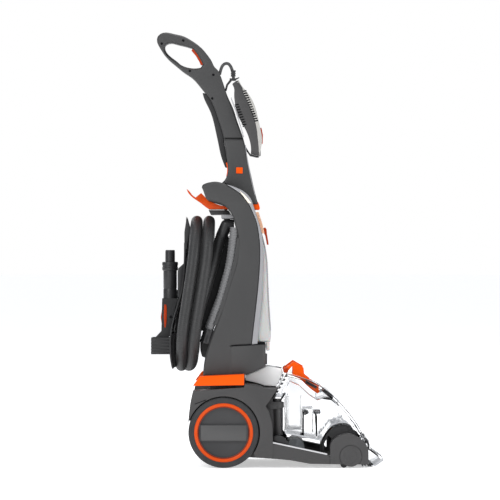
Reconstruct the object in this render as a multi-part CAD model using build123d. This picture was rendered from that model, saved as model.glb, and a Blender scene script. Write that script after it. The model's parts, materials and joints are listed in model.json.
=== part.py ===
"""Upright carpet washer: every sub-part as its own STEP file in parts/.

Frame (mm): +X forward, +Y to the machine's left, +Z up; the origin is on the floor
under the middle of the machine's box.  Outlines are side views, as (X, Z) points.
"""
import math
import os

from build123d import *

# ---- driving dimensions -------------------------------------------------------
AXLE_X, AXLE_Z = -110, 90      # main axle, which is also the recline pivot
AXLE_R = 8
WHEEL_R = 90
RIM_R = 76                     # tyre seat on the wheel hub
RUN = 0.05                     # radial running clearance of every shaft
GAP = 0.5                      # gap between neighbours that move
BASE_Y = 143                   # half width over the wheels
INNER_Y = 104                  # inner side of the base's side shells
PAN_Y = 101
BODY_Y = 98                    # half width of the upright body
BAY_Y = 88                     # half width of the clean water tank's bay
BAY_X = -62                    # back of that bay
WALL = 3.5
BRUSH_X, BRUSH_Z = 213, 30
BRUSH_R = 29
HEAD_Y = 118                   # inner side of the head's end caps
HOUSING_Y = 106
TANK_Y = 116                   # half width of the dirty water tank
LID_Y = 56                     # half width of the filler lid
HANDLE_Y = 18
STEM_Y = 24
HOSE_D = 30
LOOP_R = 120                   # hose loops, to the middle of the hose
LOOP_TOP, LOOP_BOTTOM = 510, 373   # centres of a loop's upper and lower half turn
LEAD_D = 8
SPIGOT_R, SPIGOT_H = 12.5, 31
WAND_X, WAND_Y = -250, -20

os.makedirs("parts", exist_ok=True)


# ---- helpers --------------------------------------------------------------------
def polygon(*points):
    """Flat side-view face with straight edges."""
    return make_face(Polyline(*[(x, 0, z) for x, z in points], close=True))


def profile(*runs):
    """Side-view face from runs of points: two points are straight, more are one curve."""
    edges = []
    for run in runs:
        points = [(x, 0, z) for x, z in run]
        edges.append(Line(*points) if len(run) == 2 else Spline(*points))
    return make_face(edges)


def slab(face, y0, y1):
    """Side-view face made solid from y0 to y1."""
    return extrude(Pos(0, y0, 0) * face, amount=y1 - y0, dir=(0, 1, 0))


def bar(x0, x1, y0, y1, z0, z1):
    return Pos((x0 + x1) / 2, (y0 + y1) / 2, (z0 + z1) / 2) * Box(x1 - x0, y1 - y0, z1 - z0)


def rod_x(y, z, r, x0, x1):
    return Pos((x0 + x1) / 2, y, z) * Rot(0, 90, 0) * Cylinder(r, x1 - x0)


def rod_y(x, z, r, y0, y1):
    return Pos(x, (y0 + y1) / 2, z) * Rot(90, 0, 0) * Cylinder(r, y1 - y0)


def rod_z(x, y, r, z0, z1):
    return Pos(x, y, (z0 + z1) / 2) * Cylinder(r, z1 - z0)


def left_of(shape):
    """The same piece on the machine's other side."""
    return mirror(shape, about=Plane.XZ)


def ease_side(shape, y, width):
    """Chamfer the outline edges of the flat side at y."""
    side = [e for e in shape.edges() if abs(e.center().Y - y) < 0.01]
    return chamfer(side, width)


def route_radii(points):
    """Largest arc at each corner: 0.45 of the shorter run over the tangent of half the turn."""
    radii = []
    for a, b, c in zip(points, points[1:], points[2:]):
        run_in, run_out = Vector(*b) - Vector(*a), Vector(*c) - Vector(*b)
        half_turn = math.radians(run_in.get_angle(run_out) / 2)
        radii.append(0.45 * min(run_in.length, run_out.length) / math.tan(half_turn))
    return radii


def tube(name, points, diameter):
    """Round tube along straight runs joined by tangent arcs."""
    radii = route_radii(points)
    path = FilletPolyline(*points, radius=radii)
    start = Plane(origin=path @ 0, z_dir=path % 0)
    solid = sweep(start * Circle(diameter / 2), path=path)
    print(name, "length", round(path.length), "radii", [round(r) for r in radii],
          "volume ratio", round(solid.volume / (math.pi * diameter ** 2 / 4 * path.length), 4))
    return solid


def save(name, shape):
    export_step(shape, f"parts/{name}.step")


# ---- base -----------------------------------------------------------------------
def side_shell():
    """Right side of the base: inner wall, wheel arch, front panel and low side rail."""
    arch = polygon((-188, 196), (-191, 183), (-195, 163), (-198, 138), (-200, 118), (-150, 118),
                   (-40, 60), (-30, 27), (15, 24), (15, 72), (14, 108), (5, 143), (-3, 157),
                   (26, 200), (-7, 202), (-28, 209), (-56, 214), (-58, 205))
    well = rod_y(AXLE_X, AXLE_Z, WHEEL_R + 2.5, -BASE_Y - 1, -INNER_Y - 2)
    outer = slab(arch, -BASE_Y, -INNER_Y) - well
    outer -= bar(-16, 2, -BASE_Y + 4, -INNER_Y, 44, 190)
    wall = polygon((-166, 120), (-160, 60), (-150, 27), (15, 24), (15, 72), (14, 108), (5, 143),
                   (-3, 157), (26, 200), (-7, 202), (-28, 209), (-56, 214), (-56, 236), (-76, 236),
                   (-78, 204), (-176, 197))
    inner = slab(wall, -INNER_Y, -PAN_Y)
    rail = slab(polygon((13, 66), (153, 36), (160, 30), (160, 10), (109, 11), (59, 20), (13, 24)),
                -BASE_Y + 2, -HEAD_Y - 1)
    link = bar(-6, 14, -HEAD_Y - 1, -INNER_Y, 26, 60)
    return outer + inner + rail + link - rod_y(AXLE_X, AXLE_Z, AXLE_R, -BASE_Y, -PAN_Y)


PEDAL_PIN = (-66, 224)


def side_shell_right():
    return side_shell() + rod_y(*PEDAL_PIN, 3, -BASE_Y + 6, -INNER_Y)


def pedal_strip():
    return polygon((-170, 233), (-58, 238), (-58, 211), (-188, 209))


def recline_pedal():
    body = slab(pedal_strip(), -BASE_Y, -INNER_Y - GAP)
    return body - rod_y(*PEDAL_PIN, 3 + RUN, -BASE_Y + 5, -INNER_Y)


def arch_cover():
    """Fixed strip over the left wheel arch, the twin of the pedal."""
    return slab(pedal_strip(), INNER_Y, BASE_Y)


def floor_pan():
    return slab(polygon((-150, 30), (141, 13), (141, 17), (-150, 34)), -PAN_Y, PAN_Y)


def top_deck():
    """Front cover of the base behind the dirty tank."""
    face = polygon((-56, 214), (-28, 209), (-7, 202), (26, 200), (-3, 157), (5, 143), (14, 108),
                   (15, 72), (15, 66), (-56, 66))
    return slab(face - Pos(-WALL, 0, -WALL) * face, -PAN_Y, PAN_Y)


def filter_lid():
    """White filler lid standing on the deck."""
    face = profile([(-54, 216), (-16, 244), (4, 252), (38, 247)], [(38, 247), (42, 238)],
                   [(42, 238), (24, 202)], [(24, 202), (-6, 204)], [(-6, 204), (-28, 211)],
                   [(-28, 211), (-54, 216)])
    lid = slab(face, -LID_Y, LID_Y) - slab(polygon((-36, 216), (-12, 238), (4, 246), (32, 241),
                                                   (18, 206), (-4, 208)), -LID_Y + 3, LID_Y - 3)
    return ease_side(ease_side(lid, -LID_Y, 2), LID_Y, 2)


def suction_column():
    x, y = 30, -98
    return rod_z(x, y, 11.5, 82, 151) + rod_z(x, y, 14, 151, 166) + rod_z(x - 2, y, 10, 166, 174)


def head_outline():
    return profile([(160, 57), (170, 74), (187, 84), (208, 88), (231, 78), (249, 64), (258, 42)],
                   [(258, 42), (259, 9)], [(259, 9), (160, 10)], [(160, 10), (160, 57)])


def head_cap():
    """Right end cap of the brush head, with the brush bearing and the roller bearing."""
    cap = slab(head_outline(), -BASE_Y, -HEAD_Y)
    cap = fillet([e for e in cap.edges() if abs(e.center().Y + BASE_Y) < 0.01], 3)
    ring = rod_y(BRUSH_X, BRUSH_Z, 29.5, -BASE_Y, -BASE_Y + 2) - rod_y(
        BRUSH_X, BRUSH_Z, 27, -BASE_Y, -BASE_Y + 2)
    tab = bar(180, 200, -HEAD_Y, -HOUSING_Y, 70, 82)
    wheel_slot = rod_y(196, 9, 11, -HEAD_Y - 12, -HEAD_Y)
    bearing = rod_y(BRUSH_X, BRUSH_Z, 5, -HEAD_Y - 6, -HEAD_Y)
    roller_bearing = rod_y(196, 9, 3, -HEAD_Y - 18, -HEAD_Y)
    return cap - ring + tab - wheel_slot - bearing - roller_bearing


def brush_housing():
    """Dark cover over the brush, open underneath."""
    outer = polygon((142, 12), (142, 62), (152, 84), (167, 101), (189, 109), (206, 107), (218, 98),
                    (228, 84), (236, 70), (247, 50), (247, 12), (180, 12))
    pocket = polygon((147, 0), (147, 60), (157, 80), (172, 66), (172, 0))
    bay = rod_y(BRUSH_X, BRUSH_Z, BRUSH_R + 2, -HOUSING_Y, HOUSING_Y)
    mouth = bar(BRUSH_X - BRUSH_R - 2, BRUSH_X + BRUSH_R, -HOUSING_Y, HOUSING_Y, 0, BRUSH_Z)
    return slab(outer, -HOUSING_Y, HOUSING_Y) - slab(pocket, -HOUSING_Y, HOUSING_Y) - bay - mouth


def suction_nozzle():
    """Clear slot nozzle across the front."""
    outer = polygon((249, 66), (262, 66), (265, 46), (296, 24), (298, 17), (276, 2), (249, 2))
    slot = polygon((253, 70), (258, 70), (261, 43), (291, 21), (274, 7), (262, -2), (253, -2))
    return slab(outer, -112, 112) - slab(slot, -109, 109)


def squeegee():
    return bar(243.5, 247, -104, 104, 1, 12)


def brush_motor():
    body = rod_y(75, 48, 22, -70, 60)
    return body + bar(62, 88, -60, 50, 22, 40)


def motor_pulley():
    return rod_y(75, 48, 3, 62, 109) + rod_y(75, 48, 9, 109, 117)


def drive_belt():
    """Flat belt from the motor pulley to the brush pulley."""
    small, large = 9.6, 18.6

    def loop(extra):
        ends = (Pos(75, 0, 48) * Rot(90, 0, 0) * Circle(small + extra),
                Pos(BRUSH_X, 0, BRUSH_Z) * Rot(90, 0, 0) * Circle(large + extra))
        span = math.hypot(BRUSH_X - 75, 48 - BRUSH_Z)
        tilt = math.atan2(BRUSH_Z - 48, BRUSH_X - 75)
        lean = math.asin((small - large) / span)
        corners = []
        for side in (1, -1):
            turn = tilt + side * (math.pi / 2 - lean)
            near = (75 + (small + extra) * math.cos(turn), 48 + (small + extra) * math.sin(turn))
            far = (BRUSH_X + (large + extra) * math.cos(turn),
                   BRUSH_Z + (large + extra) * math.sin(turn))
            corners += [near, far] if side == 1 else [far, near]
        return slab(ends[0], 110, 116) + slab(ends[1], 110, 116) + slab(polygon(*corners), 110, 116)

    return loop(1.6) - loop(0)


def brush_roller():
    """Brush on its shaft: a core with four rows of tufts, each row a long low block."""
    core = rod_y(BRUSH_X, BRUSH_Z, 16, -100, 100)
    shaft = rod_y(BRUSH_X, BRUSH_Z, 5 - RUN, -HEAD_Y - 5, HEAD_Y + 5)
    solid = core + shaft + rod_y(BRUSH_X, BRUSH_Z, 18, 109.5, 117)
    row = bar(BRUSH_X + 12, BRUSH_X + BRUSH_R, -98, 98, BRUSH_Z - 4, BRUSH_Z + 4)
    axis = Axis((BRUSH_X, 0, BRUSH_Z), (0, 1, 0))
    for turn in range(45, 405, 90):
        solid += row.rotate(axis, turn)
    return solid


def head_roller():
    """Shaft with a small wheel in each end cap, on which the head rests."""
    shaft = rod_y(196, 9, 3 - RUN, -HEAD_Y - 17, -HEAD_Y)
    wheel = rod_y(196, 9, 9, -HEAD_Y - 10, -HEAD_Y - 1)
    return shaft + wheel


# ---- main wheels ----------------------------------------------------------------
def tyre():
    ring = rod_y(AXLE_X, AXLE_Z, WHEEL_R, -BASE_Y, -INNER_Y - 4)
    ring = fillet([e for e in ring.edges() if e.geom_type == GeomType.CIRCLE], 5)
    return ring - rod_y(AXLE_X, AXLE_Z, RIM_R, -BASE_Y, -INNER_Y - 4)


def hub():
    """Wheel with a raised rim, a recessed face and one bar across it."""
    disc = rod_y(AXLE_X, AXLE_Z, RIM_R, -BASE_Y + 1, -INNER_Y - 5)
    disc -= rod_y(AXLE_X, AXLE_Z, 65, -BASE_Y, -BASE_Y + 10)
    grip = bar(AXLE_X - 62, AXLE_X + 62, -BASE_Y + 4, -BASE_Y + 10.5, AXLE_Z - 22, AXLE_Z + 20)
    disc -= rod_y(AXLE_X, AXLE_Z, 68, -INNER_Y - 24, -INNER_Y - 4)
    boss = rod_y(AXLE_X, AXLE_Z, 22, -INNER_Y - 25, -INNER_Y - 5)
    return disc + grip + boss - rod_y(AXLE_X, AXLE_Z, AXLE_R + RUN, -BASE_Y + 8, -INNER_Y - 4)


def axle():
    return rod_y(AXLE_X, AXLE_Z, AXLE_R, -BASE_Y + 9, BASE_Y - 9)


# ---- dirty water tank -----------------------------------------------------------
TANK_PIN = (49, 244)


def dirty_tank():
    """Clear tank that arches over the brush cover to the nozzle."""
    front = [(51, 238), (95, 226), (136, 207), (169, 182), (199, 151), (225, 118), (245, 85),
             (251, 68)]
    under = [(243, 68), (234, 84), (223, 100), (207, 111), (188, 113), (165, 105), (149, 88),
             (138, 67)]
    outer = profile(front, [front[-1], under[0]], under, [under[-1], (90, 77)], [(90, 77), (46, 86)],
                    [(46, 86), (46, 178)], [(46, 178), (16, 178)], [(16, 178), (51, 238)])
    shell = slab(outer, -TANK_Y, TANK_Y)
    shell -= slab(polygon((40, 260), (40, 232), (66, 224), (84, 216), (111, 191), (129, 178),
                          (147, 184), (154, 218), (120, 245)), -59.5, 59.5)
    room = polygon((58, 218), (66, 215), (82, 208), (108, 184), (128, 170), (142, 174), (165, 170),
                   (184, 155), (196, 118), (163, 110), (134, 72), (50, 90), (50, 182), (40, 184))
    lugs = slab(polygon((47, 232), (43, 240), (43, 247), (48, 252), (55, 250), (66, 228)), -66, -60)
    lugs -= rod_y(*TANK_PIN, 3, -67, -59)
    return shell - slab(room, -TANK_Y + 3, TANK_Y - 3) + lugs + left_of(lugs)


def tank_separator():
    """Air and water separator inside the dirty tank."""
    box = bar(52, 91, -70, 70, 92, 180) - bar(55, 88, -67, 67, 95, 181)
    return box + bar(91, 116, -70, 70, 146, 149) + bar(116, 119, -70, 70, 86, 149)


def tank_handle():
    """Orange carrying handle hinged on two lugs at the back of the tank."""
    arm = polygon((44, 241), (45, 248), (69, 266), (95, 251), (97, 232), (132, 200), (135, 188),
                  (130, 184), (112, 197), (84, 222), (66, 229), (55, 238), (48, 238))
    solid = slab(arm, -58, 58) - slab(polygon((30, 270), (30, 225), (82, 225), (82, 270)), -46, 46)
    solid -= slab(polygon((82, 275), (82, 205), (119, 176), (119, 240)), -46, 46)
    pins = rod_y(*TANK_PIN, 3 - RUN, -66, -50) + rod_y(*TANK_PIN, 3 - RUN, 50, 66)
    return solid + pins


# ---- upright body ---------------------------------------------------------------
HOOD_TOP = [(-166, 713), (-165, 719), (-158, 724), (-148, 727), (-130, 729), (-115, 726),
            (-104, 722)]
FRONT = [(-104, 722), (-79, 707), (-53, 684), (-38, 656), (-26, 626), (-20, 595), (-17, 564),
         (-17, 528), (-20, 477), (-25, 426), (-31, 375), (-38, 311)]
REAR = [(-163, 232), (-158, 278), (-140, 337), (-116, 401), (-102, 447), (-89, 488), (-79, 523),
        (-75, 554), (-74, 585), (-81, 615), (-85, 636)]
UNDER = [(-85, 636), (-90, 645), (-97, 656), (-110, 668), (-125, 674), (-140, 678), (-153, 683),
         (-158, 692), (-162, 704), (-166, 713)]


def body_outline():
    return profile(HOOD_TOP, FRONT, [(-38, 311), (-91, 308)], [(-91, 308), (-91, 232)],
                   [(-91, 232), (-163, 232)], REAR, UNDER)


def body_shell():
    """Right half of the upright's casing, open at the middle and at the tank bay."""
    half = slab(body_outline(), -BODY_Y, 0)
    half = ease_side(half, -BODY_Y, 4)
    room = polygon((-159, 236), (-154, 280), (-136, 338), (-112, 402), (-98, 448), (-85, 489),
                   (-75.5, 523), (-71, 554), (-70, 585), (-77, 615), (-81, 637), (-87, 649),
                   (-95, 660), (-109, 672), (-124, 678), (-139, 682), (-151, 687), (-156, 697),
                   (-161, 714), (-157, 719), (-148, 723), (-130, 725), (-115, 722), (-104, 718),
                   (-80, 703), (-65.5, 691), (-65.5, 314.5), (-94.5, 312), (-94.5, 236))
    half -= slab(room, -BODY_Y + WALL, 0)
    half -= bar(-96, -90, -80, 0, 242, 302)
    half -= bar(BAY_X, 10, -BAY_Y, 0, 315, 740)
    flap_recess = polygon((-180, 655), (-180, 702), (-158, 703), (-150, 694), (-125, 685),
                          (-104, 677), (-92, 664), (-88, 640), (-110, 655))
    half -= slab(flap_recess, -58, 0)
    return half - rod_y(*DUCT_TOP, 14, -96, -64)


def tank_surround():
    """Light grey frame in front of the two shells, round the tank bay."""
    top = [(-104, 722.2), (-79, 714), (-53, 699), (-40, 683)]
    edge = [(-40, 683), (-28, 646), (-17, 610), (-11, 580), (-10, 544), (-10, 503), (-12, 452),
            (-16, 400), (-21, 349), (-24, 313)]
    face = profile(top, edge, [(-24, 313), (-38, 311)], FRONT[::-1][:-1] + [(-104, 722.2)])
    side = slab(face - body_outline(), -BODY_Y + 1, -BAY_Y)
    return side + left_of(side) + bar(-37, -25, -BODY_Y + 1, BODY_Y - 1, 313.5, 317)


def lower_cover():
    outer = polygon((-91, 308), (-38, 311), (-3, 313), (-3, 257), (-28, 244), (-56, 234), (-91, 232))
    solid = slab(outer, -BODY_Y, BODY_Y)
    edges = [e for e in solid.edges() if abs(e.center().X + 3) < 0.1 and abs(e.center().Y) > 97]
    solid = fillet(edges, 10)
    room = polygon((-92, 304), (-38, 307), (-7, 309), (-7, 260), (-30, 248), (-58, 238), (-92, 236))
    return solid - slab(room, -BODY_Y + WALL, BODY_Y - WALL)


def yoke():
    """Foot of the upright, which swings on the axle."""
    neck = slab(polygon((-150, 232), (-70, 232), (-80, 100), (-140, 100)), -60, 60)
    drum = rod_y(AXLE_X, AXLE_Z, 36, -60, 60)
    room = bar(-138, -82, -52, 52, 136, 233)
    return neck + drum - room - rod_y(AXLE_X, AXLE_Z, AXLE_R + RUN, -60, 60)


def suction_motor():
    return rod_y(-108, 273, 30, -70, 30) + rod_y(-108, 273, 18, -80, -70)


def fan_rotor():
    return rod_y(-108, 273, 29, 34, 46) + rod_y(-108, 273, 4, 32, 34)


def water_pump():
    return bar(-60, -20, -60, 0, 262, 300) + rod_y(-40, 281, 8, 0, 24)


# ---- rear: hose port, duct, hose store -----------------------------------------
DUCT_Y = -84
DUCT_TOP = (-86, 608)
PORT_Y = -42
FLAP_PIN = (-106, 664)


def hose_port():
    """Black bracket under the flap, with the flap's pin, and the elbow the hose leaves from."""
    bracket = slab(polygon((-150, 657), (-144, 645), (-91, 645), (-98, 656), (-104, 657)), -45, 45)
    lug = bar(-110, -102, -6, 6, 652, 668)
    pin = rod_y(*FLAP_PIN, 2.5, -48, 48)
    run = rod_x(PORT_Y, 618, 15, -104, -84) + Pos(-104, PORT_Y, 618) * Sphere(15)
    mouth = Pos(-104, PORT_Y, 618) * Rot(0, 24, 0) * Pos(0, 0, -16) * Cylinder(15, 32)
    neck = bar(-110, -94, PORT_Y - 8, PORT_Y + 8, 618, 646)
    return bracket + lug + pin + run + mouth + neck - slab(body_outline(), -BODY_Y, BODY_Y)


def flap():
    """Orange flap over the hose store, a tray with two cheeks."""
    lower = [(-206, 711), (-204, 705), (-197, 695), (-189, 688), (-177, 680), (-166, 672),
             (-153, 662), (-148, 659.5)]
    upper = [(-146, 663), (-152, 666), (-164, 676), (-175, 684), (-187, 692), (-195, 699),
             (-202, 708), (-206, 711)]
    floor = slab(profile(lower, [lower[-1], upper[0]], upper), -55, 55)
    back = slab(polygon((-149, 659.5), (-100, 659.5), (-100, 662.5), (-149, 662.5)), -55, 55)
    cheek = slab(polygon((-186, 687), (-169, 701), (-157, 689), (-150, 680), (-125, 671),
                         (-108, 666), (-100, 661), (-100, 659.5), (-149, 659.5), (-166, 673)), -55, -52)
    boss = rod_y(*FLAP_PIN, 4.5, -52, -9)
    room = rod_y(*FLAP_PIN, 2.5 + RUN, -52, 52) + bar(-114, -98, -7.5, 7.5, 650, 672)
    return floor + back + cheek + left_of(cheek) + boss + left_of(boss) - room


def rear_duct():
    """Light grey duct down the back of the body."""
    points = [(DUCT_TOP[0], DUCT_Y, DUCT_TOP[1]), (-94, DUCT_Y, 536), (-109, DUCT_Y, 475),
              (-124, DUCT_Y, 425), (-140, DUCT_Y, 385), (-150, DUCT_Y, 352)]
    solid = tube("rear_duct", points, 24)
    cuff = Pos(-153, DUCT_Y, 333) * Rot(0, 16, 0) * Cylinder(14, 38)
    return solid + cuff - slab(body_outline(), -BODY_Y, BODY_Y)


def loop_x(z, first):
    """Middle of the outer loop (first) or the inner one at height z: both lean back low down."""
    heights = (239, 372, 504, 645)
    outer, inner = (-222, -213, -188, -180), (-193, -182, -155, -148)
    row = outer if first else inner
    for i in range(3):
        if z <= heights[i + 1] or i == 2:
            share = (z - heights[i]) / (heights[i + 1] - heights[i])
            return row[i] + share * (row[i + 1] - row[i])


def hose_coil():
    """Outer shape of the two loops of hose on the store."""
    out, into = LOOP_R + HOSE_D / 2, LOOP_R - HOSE_D / 2
    heights = [238, 300, 372, 440, 504, 575, 646]
    left = [(loop_x(z, True) - HOSE_D / 2, z) for z in heights]
    right = [(loop_x(z, False) + HOSE_D / 2, z) for z in heights]
    strip = profile(left, [left[-1], right[-1]], right[::-1], [right[0], left[0]])

    def oblong(r):
        tall = LOOP_TOP - LOOP_BOTTOM
        middle = bar(-300, -60, -r, r, LOOP_BOTTOM, LOOP_BOTTOM + tall)
        return middle + rod_x(0, LOOP_TOP, r, -300, -60) + rod_x(0, LOOP_BOTTOM, r, -300, -60)

    return (oblong(out) - oblong(into)) & slab(strip, -out - 5, out + 5)


HOSE_ENTRY = [(-117, -42, 589), (-128, -50, 556), (-141, -64, 508), (-157, -77, 455),
              (-172, -86, 404), (-184, -90, 358), (-191, -63, 312), (-192, -15, 284),
              (-191, 41, 284), (-189, 89, 311), (-184, 117, 358)]
HOSE_TAIL = [(-223, 40, 262), (-227, 84, 287), (-235, 113, 328), (-243, 120, 370), (-244, 121, 398)]


def hose_cuff():
    x, y, z = HOSE_TAIL[-1]
    return rod_z(x, y, 18, z, z + 50)


def hose_spool():
    """Winding post with an outer flange, horns, and the clip that parks the hose end."""
    face = [(-212, 573), (-213, 520), (-217, 472), (-225, 429), (-237, 393), (-244, 365),
            (-249, 330), (-249, 288), (-243, 250)]
    back = [(x + 4, z) for x, z in face[::-1]]
    flange = slab(profile(face, [face[-1], back[0]], back, [back[-1], face[0]]), -90, 90)
    core_face = polygon((-206, 560), (-78, 560), (-82, 520), (-92, 486), (-106, 445), (-120, 400),
                        (-131, 370), (-141, 345), (-238, 345), (-234, 365), (-228, 393),
                        (-216, 429), (-209, 472), (-206, 520))
    core = slab(core_face, -30, 30) - slab(offset(core_face, -4), -26, 26)
    saddle = bar(-204, -146, -30, 30, 560, 606)
    horn = slab(polygon((-212, 560), (-204, 560), (-198, 608), (-203, 626), (-207, 640),
                        (-208, 626), (-212, 600)), -60, -40)
    web = bar(-212, -204, -90, 90, 556, 573)
    clip = bar(-238, -222, 86, 101, 408, 426)
    solid = flange + core + saddle + horn + left_of(horn) + web + clip + wand_pocket()
    return solid - slab(body_outline(), -BODY_Y, BODY_Y)


def wand_pocket():
    """Cup on the flange that the wand stands in."""
    cup = bar(-298, -245, WAND_Y - 30, WAND_Y + 30, 285, 328)
    return cup - bar(-294, -253, WAND_Y - 26, WAND_Y + 26, 289, 330)


# ---- wand -----------------------------------------------------------------------
def wand_tube():
    spigot = rod_z(WAND_X, WAND_Y, SPIGOT_R, 523, 523 + SPIGOT_H)
    collar = rod_z(WAND_X, WAND_Y, 20, 502, 523)
    body = rod_z(WAND_X, WAND_Y, 17.5, 429, 502)
    bore = rod_z(WAND_X, WAND_Y, 9, 440, 555)
    return spigot + collar + body - bore


WAND_PIN = (-261, 411)


def wand_grip():
    side = polygon((-270, 429), (-230, 429), (-239, 394), (-246, 366), (-250, 332), (-256, 326),
                   (-256, 292), (-290, 292), (-290, 326), (-272, 345))
    grip = slab(side, WAND_Y - 19, WAND_Y + 19)
    recess = polygon((-280, 416), (-256, 416), (-252, 380), (-256, 348), (-280, 348))
    grip -= slab(recess, WAND_Y - 9, WAND_Y + 9)
    return grip + rod_y(*WAND_PIN, 2, WAND_Y - 9, WAND_Y + 9)


def wand_trigger():
    side = polygon((-269, 415), (-259, 415), (-257, 400), (-260, 380), (-262, 352), (-270, 350),
                   (-274, 380))
    lever = slab(side, WAND_Y - 8.5, WAND_Y + 8.5)
    return lever - rod_y(*WAND_PIN, 2 + RUN, WAND_Y - 9, WAND_Y + 9)


# ---- clean water tank -----------------------------------------------------------
LEVER_PIN = (-5, 606)


def clean_tank():
    """White translucent tank in the front of the upright, with a notch for the stem."""
    front = [(-38, 680), (-27, 646), (-16, 610), (-9, 585), (-3, 560), (2, 523), (6, 425),
             (11, 348), (7, 303)]
    outer = profile([(-61, 700), (-52, 696), (-38, 680)], front, [(7, 303), (3, 295)],
                    [(3, 295), (-2, 297)], [(-2, 297), (-2, 317.5)], [(-2, 317.5), (-61, 317.5)],
                    [(-61, 317.5), (-61, 700)])
    solid = slab(outer, -BAY_Y + 0.6, BAY_Y - 0.6)
    solid -= bar(-70, 20, -32, 32, 655, 720)
    room = profile([(-34, 646), (-23, 610), (-16, 585), (-10, 560), (-5, 523), (-1, 425), (3, 348),
                    (2, 323)], [(2, 323), (-57, 323)], [(-57, 323), (-57, 646)],
                   [(-57, 646), (-34, 646)])
    solid -= slab(room, -BAY_Y + 4, BAY_Y - 4)
    lug = slab(polygon((-16, 612), (-2, 612), (-1, 604), (-14, 598)), -20, -15)
    return solid + lug + left_of(lug)


def tank_lever():
    """Orange latch lever on the tank's front."""
    side = polygon((-9, 610), (-4, 613), (0, 608), (1, 596), (5, 572), (5, 567), (1, 568),
                   (-3, 590), (-7, 599))
    return slab(side, -14, 14) + rod_y(*LEVER_PIN, 1.5, -14.5, 14.5)


# ---- stem and handle ------------------------------------------------------------
def lower_stem():
    front = [(-60, 842), (-53, 813), (-46, 774), (-39, 743), (-33, 715), (-25, 684), (-21, 672)]
    back = [(-118, 727), (-109, 735), (-103, 746), (-100, 760), (-102, 780), (-106, 806),
            (-111, 842)]
    face = profile(front, [(-21, 672), (-60, 672)], [(-60, 672), (-60, 700)],
                   [(-60, 700), (-118, 700)], [(-118, 700), (-118, 727)], back,
                   [(-111, 842), (-60, 842)])
    solid = slab(face, -STEM_Y, STEM_Y)
    solid = ease_side(ease_side(solid, -STEM_Y, 4), STEM_Y, 4)
    room = polygon((-94, 732), (-52, 732), (-66, 836), (-100, 836), (-94, 770))
    solid -= slab(room, -STEM_Y + 5, STEM_Y - 5)
    solid -= bar(-80, -61, -STEM_Y - 1, -STEM_Y + 6, 751, 769)
    solid -= slab(body_outline() & polygon((-200, 600), (-60, 600), (-60, 760), (-200, 760)), -40, 40)
    top = slab(polygon((-104, 722.2), (-79, 715), (-60, 704), (-60, 660), (-104, 660)), -40, 40)
    return solid - top


def square_button():
    return bar(-79, -62, -STEM_Y - 3, -STEM_Y + 2.5, 752, 768)


def handle_outline():
    loop = [(-60, 842), (-66, 860), (-77, 891), (-87, 922), (-100, 950), (-110, 979), (-121, 1010)]
    crown = [(-121, 1010), (-127, 1021), (-135, 1029), (-142, 1043), (-152, 1058), (-165, 1074),
             (-181, 1088), (-199, 1100), (-217, 1109), (-238, 1114), (-256, 1118), (-270, 1117),
             (-282, 1108), (-284, 1094), (-277, 1079), (-267, 1063), (-251, 1045), (-233, 1030),
             (-212, 1013), (-194, 1001), (-181, 988), (-168, 972), (-158, 960)]
    spine = [(-158, 960), (-150, 950), (-137, 925), (-126, 894), (-116, 863), (-111, 842)]
    return profile(loop, crown, spine, [(-111, 842), (-60, 842)])


def grip_hole():
    back = [(-225, 1036), (-246, 1053), (-262, 1072), (-263, 1083), (-253, 1090), (-230, 1087),
            (-213, 1083), (-192, 1077)]
    side = [(-192, 1077), (-180, 1062), (-170, 1045), (-165, 1035)]
    return profile(back, side, [(-165, 1035), (-171, 1027)],
                   [(-171, 1027), (-185, 1025), (-199, 1026), (-211, 1029), (-225, 1036)])


TRIGGER_PIN = (-183, 1075)


def handle_half():
    """Right half of the loop handle and its neck."""
    half = slab(handle_outline(), -HANDLE_Y, 0) - slab(grip_hole(), -HANDLE_Y, 0)
    half = ease_side(half, -HANDLE_Y, 4)
    recess = polygon((-196, 1084), (-182, 1084), (-164, 1064), (-154, 1046), (-150, 1032),
                     (-175, 1032))
    half -= slab(recess, -10, 0)
    neck_room = polygon((-106, 846), (-66, 846), (-80, 885), (-95, 925), (-116, 975), (-134, 1010),
                        (-155, 985), (-145, 950), (-128, 912), (-115, 875))
    return half - slab(neck_room, -HANDLE_Y + WALL, 0)


def handle_right():
    return handle_half() + rod_y(*TRIGGER_PIN, 2, -11, 9.5)


def trigger():
    side = polygon((-195, 1072), (-184, 1059), (-175, 1044), (-171, 1034.5), (-162, 1034.5),
                   (-167, 1050), (-174, 1064), (-178, 1077), (-183, 1080), (-190, 1079))
    return slab(side, -9, 9) - rod_y(*TRIGGER_PIN, 2 + RUN, -9, 9)


def spine_cover():
    """Dark strip that closes the back of the stem."""
    rear = [(-166, 962), (-159, 940), (-154, 930), (-146, 913), (-139, 892), (-134, 871),
            (-129, 848), (-124, 824), (-119, 801), (-112, 780), (-107, 768)]
    front = [(-101, 768), (-102, 780), (-106, 806), (-111, 842), (-116, 863), (-126, 894),
             (-137, 925), (-150, 950), (-158, 960)]
    face = profile(rear, [rear[-1], front[0]], front, [front[-1], rear[0]])
    return slab(face, -12, 12) - slab(handle_outline(), -HANDLE_Y, HANDLE_Y) - lower_stem()


# ---- hand unit hung on the front of the stem ------------------------------------
UNIT_SPLIT = [(-20, 799), (-20, 811), (-22, 833), (-25, 862), (-30, 887), (-37, 908), (-45, 930),
              (-59, 959), (-69, 978), (-79, 993)]


def unit_front_view():
    """Leaf outline seen from the front, made solid along X."""
    right = [(0, 9, 1000), (0, 17, 980), (0, 27, 950), (0, 35, 910), (0, 38, 870), (0, 35, 830),
             (0, 28, 805), (0, 18, 793)]
    other = [(x, -y, z) for x, y, z in right]
    edges = [Spline(*right), Line(right[-1], other[-1]), Spline(*other[::-1]), Line(other[0], right[0])]
    return extrude(Pos(-120, 0, 0) * make_face(edges), amount=130, dir=(1, 0, 0))


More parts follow.
